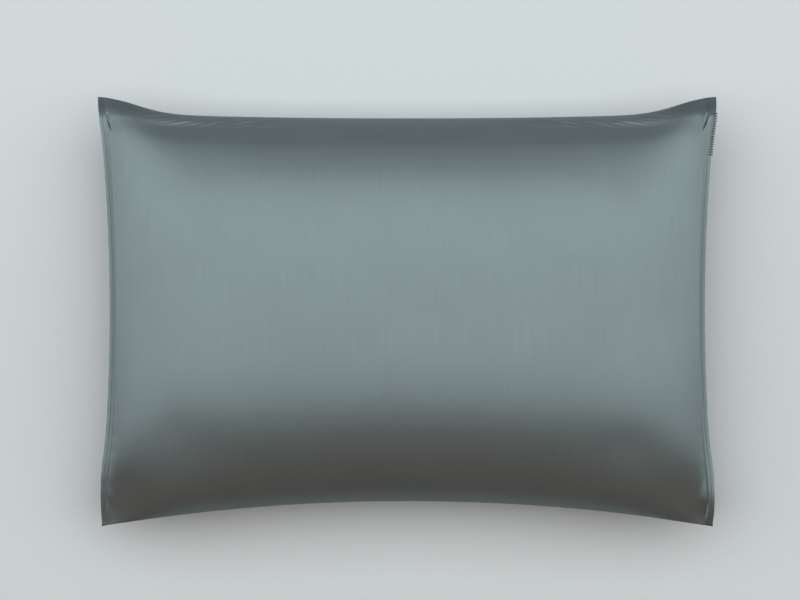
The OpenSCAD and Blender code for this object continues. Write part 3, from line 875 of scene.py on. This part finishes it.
# ---------------------------------------------------------------- stage
class PILLOW_OT_stage(bpy.types.Operator):
    """Floor, soft light and camera"""
    bl_idname = "pillow.stage"
    bl_label = "Stage"

    def execute(self, context):
        clear_selection()
        bpy.ops.mesh.primitive_plane_add(size=8, location=(0, 0, 0))
        floor = context.active_object
        floor.name = "floor"
        give(floor, painted("matt emulsion, pale", "#9ea4a7", "#a3a9ac", 260.0, 0.8))
        for name, place, aim, size, power, tint in (
                ("window_soft", (0.0, 1.0, 3.2), (0, 0.75, 0.0), (14.0, 4.0), 590, "#f8faf8"),
                ("sky_edge", (0.0, 4.2, 2.3), (0, 0.0, 0.05), (10.0, 1.8), 50, "#f4f8ff"),
                ("room_fill", (0.0, -2.2, 1.2), (0, 0, 0.05), (5.0, 1.0), 4, "#ffdcc0")):
            light = bpy.data.lights.new(name, "AREA")
            light.shape = "RECTANGLE"
            light.size, light.size_y = size
            light.energy = power
            light.color = linear(tint)[:3]
            lamp = bpy.data.objects.new(name, light)
            context.scene.collection.objects.link(lamp)
            lamp.location = place
            lamp.rotation_euler = (Vector(aim) - Vector(place)).to_track_quat("-Z", "Y").to_euler()
        clear_selection()
        bpy.ops.mesh.primitive_plane_add(size=1, location=(0, -0.62, 0.35), rotation=(math.radians(80), 0, 0))
        card = context.active_object
        card.name = "warm_card"
        card.scale = (4.0, 0.7, 1)
        card.visible_camera = False
        give(card, painted("matt paper, brown", "#9c6038", "#a2663e", 90.0, 0.9))
        world = bpy.data.worlds.new("room")
        world.use_nodes = True
        world.node_tree.nodes["Background"].inputs[0].default_value = linear("#e8d8cb")
        world.node_tree.nodes["Background"].inputs[1].default_value = 0.10
        context.scene.world = world
        cam_data = bpy.data.cameras.new("camera")
        cam = bpy.data.objects.new("camera", cam_data)
        context.scene.collection.objects.link(cam)
        cam_data.sensor_width = 36
        cam_data.lens = cam_data.sensor_width * CAMERA_UP / SEEN_WIDTH
        cam.location = (-0.0082, 0.0129, SEAM_Z + CAMERA_UP)
        cam.rotation_euler = (0, 0, 0)
        context.scene.camera = cam
        context.scene.view_settings.view_transform = "Standard"
        return {"FINISHED"}


# ---------------------------------------------------------------- case
class PILLOW_OT_case(bpy.types.Operator):
    """Both satin panels, blown up by their filling in a cloth simulation"""
    bl_idname = "pillow.case"
    bl_label = "Satin case"

    def execute(self, context):
        sizes = context.scene.pillow_sizes
        cloth = CaseCloth(sizes.cut_w, sizes.cut_h, sizes.pitch)
        front, back = cloth.start(1), cloth.start(-1)
        blown = cloth.inflate(24, sizes.pressure)
        front, back = settled(front, blown[0], sizes.give), settled(back, blown[1], sizes.give)
        front = rumple(front)
        back[..., 2] = np.maximum(back[..., 2], 0.00002)
        m = shared("satin", satin, sizes.cut_h / 2)
        for name, grid, up in (("case_front", front, 1), ("case_back", back, -1)):
            full, a, b = with_edges(cloth, grid, up)
            full = drooped(full)
            MADE[name] = height_field(full)
            o = cloth_object(name + "_satin", full, a, b, up, SATIN_T, 1, (3, 5, 3, 3))
            settle(o, m, "pillow", [name])
        return {"FINISHED"}


# ---------------------------------------------------------------- sewing
class PILLOW_OT_sewing(bpy.types.Operator):
    """Seam threads, topstitching and the whipped ends of the zip opening"""
    bl_idname = "pillow.sewing"
    bl_label = "Sewing"

    def execute(self, context):
        sizes = context.scene.pillow_sizes
        r = sizes.thread / 2
        m = shared("thread", twisted_thread)
        # lock stitches between the allowances of the two long seams
        part = one_stitch(sizes.stitch * 0.86, r * 0.9)
        q = np.linspace(-0.975, 0.975, 500)
        for name, node_name, end in (("top_seam_stitches", "top_seam_thread", 1),
                                     ("bottom_seam_stitches", "bottom_seam_thread", -1)):
            line = np.stack([q * HALF_W, end * (edge_y(q, end) - 0.0018), np.full_like(q, SEAM_Z - 0.0001)], axis=-1)
            rows = stitch_row(part, line, np.tile((0, 0, 1.0), (len(q), 1)), sizes.stitch)
            settle(joined(name, [(drooped(v), f) for v, f in rows]), m, "pillow", [node_name])
        # left band: stitches on both faces of the band, joined through it
        y = np.linspace(-TOPSTITCH, TOPSTITCH, 300) * HALF_H
        rows = []
        for up in (1, -1):
            line = np.stack([-(edge_x(y) - TOPSTITCH_IN), y, np.full_like(y, SEAM_Z + up * 0.00168)], axis=-1)
            rows += stitch_row(part, line, np.tile((0, 0, float(up)), (len(y), 1)), sizes.stitch)
        count = int(TOPSTITCH * HALF_H * 2 // sizes.stitch)
        for k in range(0, count + 1, 2):
            at = -TOPSTITCH * HALF_H + k * 2 * TOPSTITCH * HALF_H / count
            x = -(float(edge_x(at)) - TOPSTITCH_IN)
            rows.append(tube([(x, at, SEAM_Z - 0.0014), (x, at, SEAM_Z), (x, at, SEAM_Z + 0.0014)], r * 0.6, 4))
        settle(joined("left_band_topstitch", [(drooped(v), f) for v, f in rows]), m, "pillow", ["left_topstitch"])
        # zip side: one row along the front lip
        line = np.stack([edge_x(y) - TOPSTITCH_IN, y, np.full_like(y, SEAM_Z + 0.00695)], axis=-1)
        rows = stitch_row(part, line, np.tile((0, 0, 1.0), (len(y), 1)), sizes.stitch)
        line[:, 2] = SEAM_Z + 0.0050
        rows += stitch_row(part, line, np.tile((0, 0, -1.0), (len(y), 1)), sizes.stitch)
        settle(joined("zip_lip_topstitch", [(drooped(v), f) for v, f in rows]), m, "pillow", ["placket_topstitch"])
        # rows that hold the tapes to the slanted allowances
        rows = []
        y = np.linspace(-0.214, 0.214, 200)
        for up in (1, -1):
            for n, w, normal in ((-0.0031, 0.0079, (-0.7, 0, 0.7 * up)), (-0.0029, 0.0073, (0.7, 0, -0.7 * up))):
                line = on_arc(y, n, up * w)
                rows += stitch_row(part, line, np.tile(normal, (len(y), 1)), sizes.stitch)
        settle(joined("tape_stitches", rows), m, "pillow", ["tape_stitching"])
        # thread whipped over the lip where the zip ends, and a bar of thread across the tapes at each end
        rows = []
        bar = one_stitch(0.0085, r * 1.1)
        for side in (-1, 1):
            for k in range(5):
                rows.append(placed(bar, on_arc(side * (0.2222 + 0.0004 * k), 0.0004 + 0.0003 * (k % 2), 0.0),
                                   (0, 0, 1.0), (1.0, 0, 0)))
        # two turns side by side to each whipping stitch
        for k in range(2 * WHIP_COUNT):
            at = WHIP_FROM + (k // 2) * WHIP_EVERY + (k % 2) * WHIP_TURN
            inset = [(0.0026, 0.0071), (0.0010, 0.0072), (-0.0008, 0.0066), (-0.0012, 0.0056), (-0.0008, 0.0046),
                     (0.0008, 0.0041), (0.0026, 0.0043)]
            sewn = (at / HALF_H) ** 30
            loop = [(float(edge_x(at)) - d, at + 0.00010 * c,
                     SEAM_Z + w * (1 - sewn) + 0.0009 * sewn) for c, (d, w) in enumerate(inset)]
            rows.append(tube(drooped(loop), r * 1.8, 6))
        settle(joined("zip_end_whipping", rows), m, "pillow", ["zip_end_tacks"])
        return {"FINISHED"}


# ---------------------------------------------------------------- zip
class PILLOW_OT_zip_chain(bpy.types.Operator):
    """Woven tapes, both coils, and the moulded stops"""
    bl_idname = "pillow.zip_chain"
    bl_label = "Zip chain"

    def execute(self, context):
        sizes = context.scene.pillow_sizes
        tape = shared("tape", woven, "woven polyester tape, slate", colour("tape"), 0.0006, 0.75)
        # tape: stands beside the chain, then slants in under the lip
        profile = [(0, 0.0002), (0, 0.0012), (0, 0.0024), (0, 0.0036), (0.00008, 0.0045), (-0.0007, 0.0054),
                   (-0.0024, 0.0070), (-0.0046, 0.0090), (-0.0066, 0.01085)]
        y = np.linspace(-TAPE_END, TAPE_END, 147)
        across = np.concatenate([[0], np.cumsum(np.hypot(*np.diff(np.array(profile), axis=0).T))])
        spare = 0.00125 * eased((OPEN_FROM - y) / 0.0030)
        for name, node_name, up in (("zip_tape_front_woven", "zip_tape_front", 1),
                                    ("zip_tape_back_woven", "zip_tape_back", -1)):
            grid = np.stack([on_arc(y, n, up * (np.maximum(w, 0.0002 + spare) if k < 2 else w))
                             for k, (n, w) in enumerate(profile)], axis=1)
            o = cloth_object(name, grid, y, across, -up, TAPE_T)
            settle(o, tape, "pillow", [node_name])
        # coils: a drawn thread wound at the pitch of the chain; the two sides mesh half a turn apart
        nylon = shared("coil", coil_nylon)
        turns = int((COIL_TO - COIL_FROM) / sizes.tooth) - 1
        per = 12
        for name, node_name, up, shift in (("zip_coil_front_turns", "zip_coil_front", 1, 0.0),
                                           ("zip_coil_back_turns", "zip_coil_back", -1, 0.5)):
            c = np.arange(turns * per + 1) / per
            turn = c * 2 * math.pi
            along = COIL_FROM + (c + shift) * sizes.tooth + 0.00035 * np.sin(2 * turn)
            line = on_arc(along, 0.00128 - 0.00068 * np.cos(turn), up * (0.00092 + 0.00118 * np.sin(turn)))
            rows = [tube(line, 0.0003, 5),
                    tube(on_arc(np.linspace(COIL_FROM, COIL_TO - 0.001, 120), 0.00128, up * 0.0013), 0.00034, 6)]
            settle(joined(name, rows), nylon, "pillow", [node_name])
        # stops: small moulded blocks pressed over the ends of the chain
        self.stop("zip_bottom_stop_moulded", ["zip_bottom_stop"], nylon, [(0.2135, 0.0, (0.0028, 0.0030, 0.0052))])
        self.stop("zip_top_stops_moulded", ["zip_top_stops"], nylon,
                  [(-0.2127, 0.0023, (0.0027, 0.0021, 0.0015)), (-0.2127, -0.0023, (0.0027, 0.0021, 0.0015))])
        return {"FINISHED"}

    def stop(self, name, nodes, material, blocks):
        made = []
        for at, w, size in blocks:
            clear_selection()
            bpy.ops.mesh.primitive_cube_add(size=1, location=(0.00095, 0, w))
            o = bpy.context.active_object
            o.scale = size
            select_only(o)
            bpy.ops.object.transform_apply(location=False, rotation=False, scale=True)
            bpy.ops.object.mode_set(mode="EDIT")
            bpy.ops.mesh.select_all(action="SELECT")
            bpy.ops.mesh.subdivide(number_cuts=2)
            bpy.ops.mesh.select_all(action="DESELECT")
            bm = bmesh.from_edit_mesh(o.data)
            for f in bm.faces:
                c = f.calc_center_median()
                f.select = c.x > size[0] * 0.45 and abs(c.y) < size[1] * 0.2
            bmesh.update_edit_mesh(o.data)
            bpy.ops.mesh.inset(thickness=min(size[1:]) * 0.06)
            bpy.ops.transform.translate(value=(-size[0] * 0.12, 0, 0))
            bpy.ops.object.mode_set(mode="OBJECT")
            soften(o, 0.00022, 3, 30)
            low = float(droop(*on_arc(at, 0, 0)[:2]))
            o.data.transform(Matrix.Translation((0, 0, -low)) @ chain_frame(at) @ o.matrix_basis)
            o.matrix_basis = Matrix.Identity(4)
            made.append(o)
        settle(merged(name, made), material, "pillow", nodes)


def merged(name, parts):
    """Joins finished solids into one object at the origin."""
    clear_selection()
    for p in parts:
        p.select_set(True)
    bpy.context.view_layer.objects.active = parts[0]
    if len(parts) > 1:
        bpy.ops.object.join()
    o = bpy.context.active_object
    o.name = o.data.name = name
    select_only(o)
    bpy.ops.object.shade_smooth_by_angle(angle=math.radians(35))
    return o


def soften(o, width, segments, angle):
    """Rounds the edges of the active object that are sharper than the angle, in degrees."""
    soft = o.modifiers.new("edges", "BEVEL")
    soft.width = width
    soft.segments = segments
    soft.limit_method = "ANGLE"
    soft.angle_limit = math.radians(angle)
    bpy.ops.object.modifier_apply(modifier="edges")


def rounded_plate(size, place, corner, edge):
    """A plate with round corners seen along X and softened edges."""
    clear_selection()
    bpy.ops.mesh.primitive_cube_add(size=1, location=place)
    o = bpy.context.active_object
    o.scale = size
    select_only(o)
    bpy.ops.object.transform_apply(location=True, rotation=True, scale=True)
    bpy.ops.object.mode_set(mode="EDIT")
    bpy.ops.mesh.select_mode(type="EDGE")
    bpy.ops.mesh.select_all(action="DESELECT")
    bm = bmesh.from_edit_mesh(o.data)
    for e in bm.edges:
        run = e.verts[0].co - e.verts[1].co
        e.select = abs(run.x) > 0.9 * size[0] and abs(run.y) + abs(run.z) < 1e-6
    bmesh.update_edit_mesh(o.data)
    bpy.ops.mesh.bevel(offset=corner, segments=6, affect="EDGES")
    bpy.ops.object.mode_set(mode="OBJECT")
    if edge:
        soften(o, edge, 2, 50)
    return o


def round_bar(radius, length, place, turned, edge, sides=32):
    """A short round bar; turned is its rotation in radians."""
    clear_selection()
    bpy.ops.mesh.primitive_cylinder_add(vertices=sides, radius=radius, depth=length, location=place, rotation=turned)
    o = bpy.context.active_object
    select_only(o)
    bpy.ops.object.transform_apply(location=True, rotation=True, scale=True)
    if edge:
        soften(o, edge, 2, 50)
    return o


def cut(solid, tool, how="DIFFERENCE"):
    """Cuts, or adds, one solid with another and drops the tool."""
    mod = solid.modifiers.new("cut", "BOOLEAN")
    mod.operation = how
    mod.object = tool
    mod.solver = "EXACT"
    select_only(solid)
    bpy.ops.object.modifier_apply(modifier="cut")
    bpy.data.objects.remove(tool)
    return solid


class PILLOW_OT_slider(bpy.types.Operator):
    """Cast slider and the pull tab on its pin"""
    bl_idname = "pillow.slider"
    bl_label = "Slider and pull tab"

    def execute(self, context):
        zinc = shared("zinc", lacquered_zinc)
        # body: two plates joined by the wedge that parts the coils, with flanges along both sides
        plate = (0.0009, BODY_LONG, 0.0078)
        body = rounded_plate(plate, (-0.00105, 0, 0), 0.0017, 0.00018)
        for solid in (rounded_plate(plate, (0.00305, 0, 0), 0.0017, 0.00018),
                      rounded_plate((0.0046, 0.0019, 0.0020), (0.0010, -0.0041, 0), 0.0008, 0.0),
                      rounded_plate((0.0023, 0.0078, 0.0008), (0.00175, 0, 0.0034), 0.0003, 0.0),
                      rounded_plate((0.0023, 0.0078, 0.0008), (0.00175, 0, -0.0034), 0.0003, 0.0)):
            cut(body, solid, "UNION")
        # two ears carry the pin
        for side in (-1, 1):
            cut(body, rounded_plate((0.0022, 0.0026, 0.0008), (0.0039, 0, side * 0.0018), 0.0001, 0.0), "UNION")
            cut(body, round_bar(0.0013, 0.0008, (PIN_OUT, 0, side * 0.0018), (0, 0, 0), 0.00012), "UNION")
        cut(body, round_bar(0.0005, 0.0038, (PIN_OUT, 0, 0), (0, 0, 0), 0.00008), "UNION")
        place = chain_frame(-SLIDER_Y)
        body.data.transform(place)
        settle(merged("zip_slider_cast", [body]), zinc, "slider", ["zip_slider"])
        # pull tab: an eye round the pin, a neck and a flat grip with a small hole
        tab = round_bar(0.0011, 0.0024, (PIN_OUT, 0, 0), (0, 0, 0), 0.0001)
        cut(tab, rounded_plate((0.0012, 0.0030, 0.0024), (PIN_OUT, 0.0021, 0), 0.0001, 0.0001), "UNION")
        cut(tab, rounded_plate((0.0012, 0.0173, 0.0050), (PIN_OUT, 0.01135, 0), 0.0020, 0.00022), "UNION")
        cut(tab, round_bar(0.00056, 0.0040, (PIN_OUT, 0, 0), (0, 0, 0), 0.0))
        cut(tab, round_bar(0.0012, 0.0030, (PIN_OUT, 0.0165, 0), (0, math.pi / 2, 0), 0.0))
        # the grip is pressed a little thinner inside its border, on both faces
        for side in (-1, 1):
            cut(tab, rounded_plate((0.0004, 0.0088, 0.0030), (PIN_OUT + side * 0.00062, 0.0097, 0), 0.0012, 0.0))
        tab.data.transform(place)
        settle(merged("zip_pull_tab_pressed", [tab]), zinc, "pull_tab", ["zip_pull_tab"])
        return {"FINISHED"}


# ---------------------------------------------------------------- insert
def insert_spot(u, v, more):
    """A point of the insert's outline, from -1 to 1 each way, with the corners drawn further in."""
    y = v * (edge_y(u, v) - INSERT_IN - more - INSERT_CORNER * np.abs(u) ** 8)
    x = u * (edge_x(y) - INSERT_IN - more - INSERT_CORNER * np.abs(v) ** 8)
    return x, y


def soft_grid(more, gap, depth, up, rough=0.0):
    """One face of a soft layer that lies the given depth inside the case."""
    case = MADE.get("case_front" if up > 0 else "case_back")
    if case is None:
        raise RuntimeError("the case is made before what lies in it")
    u, v = np.meshgrid(np.sin(np.linspace(-1, 1, LAYER_U) * math.pi / 2),
                       np.sin(np.linspace(-1, 1, LAYER_V) * math.pi / 2), indexing="ij")
    x, y = insert_spot(u, v, more)
    c = crown_line(u, ACROSS) * crown_line(v, ALONG)
    if up < 0:
        c = np.minimum(1, 1.06 * (1 - (1 - c) ** 1.6))
    top = float(case(0.0, 0.0, up))
    plane = SEAM_Z - droop(x, y)
    z = plane + up * (gap * (1 - c) + (abs(top - SEAM_Z) - depth) * c)
    skin = case(x, y, up)
    limit = plane + up * np.maximum(np.abs(skin - plane) - depth, gap)
    z = np.minimum(z, limit) if up > 0 else np.maximum(z, limit)
    if rough:
        lumps = np.sin(x * 97 + 2 * np.sin(y * 61)) * np.cos(y * 83 + 1.7 * x * 31)
        z = z - up * rough * c ** 0.5 * (0.5 + 0.5 * lumps)
    return np.stack([x, y, z], axis=-1)


class PILLOW_OT_insert(bpy.types.Operator):
    """Fibre filling, ticking cover with its corded edge, and the hand closed seam"""
    bl_idname = "pillow.insert"
    bl_label = "Insert"

    def execute(self, context):
        sizes = context.scene.pillow_sizes
        ticking = shared("ticking", woven, "cotton ticking, bleached", colour("ticking"), 0.0008, 0.9, 0.03, 0.5, 0.2)
        for name, node_name, up in (("insert_front_ticking", "insert_cover_front", 1),
                                    ("insert_back_ticking", "insert_cover_back", -1)):
            grid = soft_grid(0.0012, 0.0004, 0.0013, up)
            MADE[node_name] = height_field(grid)
            a = lengths(grid[:, LAYER_V // 2])
            b = lengths(grid[LAYER_U // 2])
            o = cloth_object(name, grid, a - a[-1] / 2, b - b[-1] / 2, up, TICKING_T)
            settle(o, ticking, "pillow", [node_name])
        # corded edge: bias strip round a cord, sewn between the two covers
        q = np.concatenate([np.linspace(-1, 1, 150)[:-1], np.ones(110), np.linspace(1, -1, 150)[:-1], -np.ones(110)])
        r = np.concatenate([-np.ones(149), np.linspace(-1, 1, 111)[:-1], np.ones(149), np.linspace(1, -1, 111)[:-1]])
        x, y = insert_spot(np.clip(q, -0.985, 0.985), np.clip(r, -0.975, 0.975), 0.0)
        line = drooped(np.stack([x, y, np.full_like(x, SEAM_Z)], axis=-1))
        for _ in range(3):
            line = (np.roll(line, 1, 0) + 2 * line + np.roll(line, -1, 0)) / 4
        keep = np.linalg.norm(line - np.roll(line, 1, 0), axis=1) > 0.0012
        line = line[keep]
        verts, faces = tube(line, sizes.piping * 0.96, CORD_SIDES, closed=True)
        o = mesh_object("insert_piping_cord", verts, faces)
        self.wrap_map(o, len(line), CORD_SIDES, sizes.piping)
        bias = shared("piping", woven, "cotton bias piping, bleached", colour("ticking"), 0.0007, 0.85, 0.05, 0.6, 0.2)
        settle(o, bias, "pillow", ["insert_piping"])
        # slip stitches that close the gap left for filling
        part = one_stitch(0.0034, 0.0002)
        u = np.linspace(-0.22, 0.22, 120)
        x, y = insert_spot(u, -np.ones_like(u), 0.0033)
        line = np.stack([x, y, np.full_like(x, SEAM_Z - 0.0001)], axis=-1)
        rows = stitch_row(part, line, np.tile((0, 0, 1.0), (len(u), 1)), 0.0042)
        settle(joined("insert_slip_stitches", rows), shared("white thread", woven_thread), "pillow",
               ["insert_closing_stitch"])
        # filling
        top, low = (soft_grid(0.006, 0.0008, 0.0030, up, 0.0016) for up in (1, -1))
        o = closed_pad("fibre_filling", top, low)
        settle(o, shared("fibre", fibre), "pillow", ["fibre_fill"])
        return {"FINISHED"}

    def wrap_map(self, o, rings, sides, radius):
        """Cloth map of a covered cord, in metres round and along it, turned to lie on the bias."""
        uv = o.data.uv_layers.new(name="cut")
        co = np.zeros(len(o.data.vertices) * 3)
        o.data.vertices.foreach_get("co", co)
        mid = co.reshape(rings, sides, 3).mean(1)
        run = lengths(np.vstack([mid, mid[:1]]))
        flat = np.zeros((len(o.data.loops), 2), np.float32)
        for f in o.data.polygons:
            ids = np.array(f.vertices)
            ring, side = ids // sides, ids % sides
            ring = np.where((ring == 0) & (ring.max() > 1), rings, ring)
            side = np.where((side == 0) & (side.max() > 1), sides, side)
            p, w = run[ring], side / sides * 2 * math.pi * radius
            flat[f.loop_start:f.loop_start + len(ids)] = np.stack([(p + w) * 0.7071, (p - w) * 0.7071], axis=-1)
        uv.data.foreach_set("uv", flat.ravel())


def closed_pad(name, top, low):
    """A closed form from an upper and a lower grid whose rims meet."""
    n, m = top.shape[:2]
    count = n * m
    ring = round_edge(n, m)
    wall = np.stack([ring + count, np.roll(ring, -1) + count, np.roll(ring, -1), ring], axis=-1)
    faces = np.concatenate([grid_faces(n, m), grid_faces(n, m)[:, ::-1] + count, wall])
    return mesh_object(name, np.concatenate([top.reshape(-1, 3), low.reshape(-1, 3)]), faces)


# ---------------------------------------------------------------- labels
class PILLOW_OT_labels(bpy.types.Operator):
    """Care label in the left seam and the insert's own label, both blank"""
    bl_idname = "pillow.labels"
    bl_label = "Labels"

    def execute(self, context):
        cloth = shared("label", woven, "woven satin ribbon, white", colour("label"), 0.0005, 0.5, 0.02, 0.35, 0.1)
        for name, node_name, centre, up, first in (
                ("care_label_ribbon", "care_label", 0.0, -1,
                 [(0.0076, -0.0001), (0.0088, -0.0001), (0.0093, -0.0012), (0.0096, -0.0040)]),
                ("insert_label_ribbon", "insert_label", 0.060, 1, [(0.0121, 0.0021), (0.0127, 0.0052)])):
            inner, outer = MADE["insert_cover_front" if up > 0 else "insert_cover_back"], \
                MADE["case_front" if up > 0 else "case_back"]
            y = centre + np.linspace(-0.015, 0.015, 21)
            rows = [np.stack([-(HALF_W - SAG_SIDE - d) * np.ones_like(y), y, np.full_like(y, SEAM_Z + w)], axis=-1)
                    for d, w in first]
            for d in (0.0125, 0.0140, 0.0155, 0.0170, 0.0190, 0.0210, 0.0230, 0.0250):
                x = -(HALF_W - SAG_SIDE - d) * np.ones_like(y)
                low, high = np.abs(inner(x, y, up) - SEAM_Z), np.abs(outer(x, y, up) - SEAM_Z)
                rows.append(np.stack([x, y, SEAM_Z + up * (0.5 * low + 0.5 * high)], axis=-1))
            grid = np.array(rows)
            run = lengths(grid[:, 10])
            o = cloth_object(name, grid, run, y, up, RIBBON_T)
            settle(o, cloth, "pillow", [node_name])
        return {"FINISHED"}


class PILLOW_PT_panel(bpy.types.Panel):
    """Sizes, colours and steps of the pillow"""
    bl_label = "Satin bed pillow"
    bl_idname = "PILLOW_PT_panel"
    bl_space_type = "VIEW_3D"
    bl_region_type = "UI"
    bl_category = "Pillow"

    def draw(self, context):
        for group in (context.scene.pillow_sizes, context.scene.pillow_colours):
            for key in group.bl_rna.properties.keys():
                if key not in ("rna_type", "name"):
                    self.layout.prop(group, key)
        for step in STEPS:
            self.layout.operator(step.bl_idname)


STEPS = (PILLOW_OT_stage, PILLOW_OT_case, PILLOW_OT_insert, PILLOW_OT_sewing, PILLOW_OT_zip_chain, PILLOW_OT_slider,
         PILLOW_OT_labels)
CLASSES = (PillowSizes, PillowColours, *STEPS, PILLOW_PT_panel)


def register():
    for c in CLASSES:
        bpy.utils.register_class(c)
    bpy.types.Scene.pillow_sizes = bpy.props.PointerProperty(type=PillowSizes)
    bpy.types.Scene.pillow_colours = bpy.props.PointerProperty(type=PillowColours)


def unregister():
    del bpy.types.Scene.pillow_colours
    del bpy.types.Scene.pillow_sizes
    for c in reversed(CLASSES):
        bpy.utils.unregister_class(c)


def main():
    register()
    for step in STEPS:
        group, name = step.bl_idname.split(".")
        getattr(getattr(bpy.ops, group), name)()


if __name__ == "__main__":
    main()
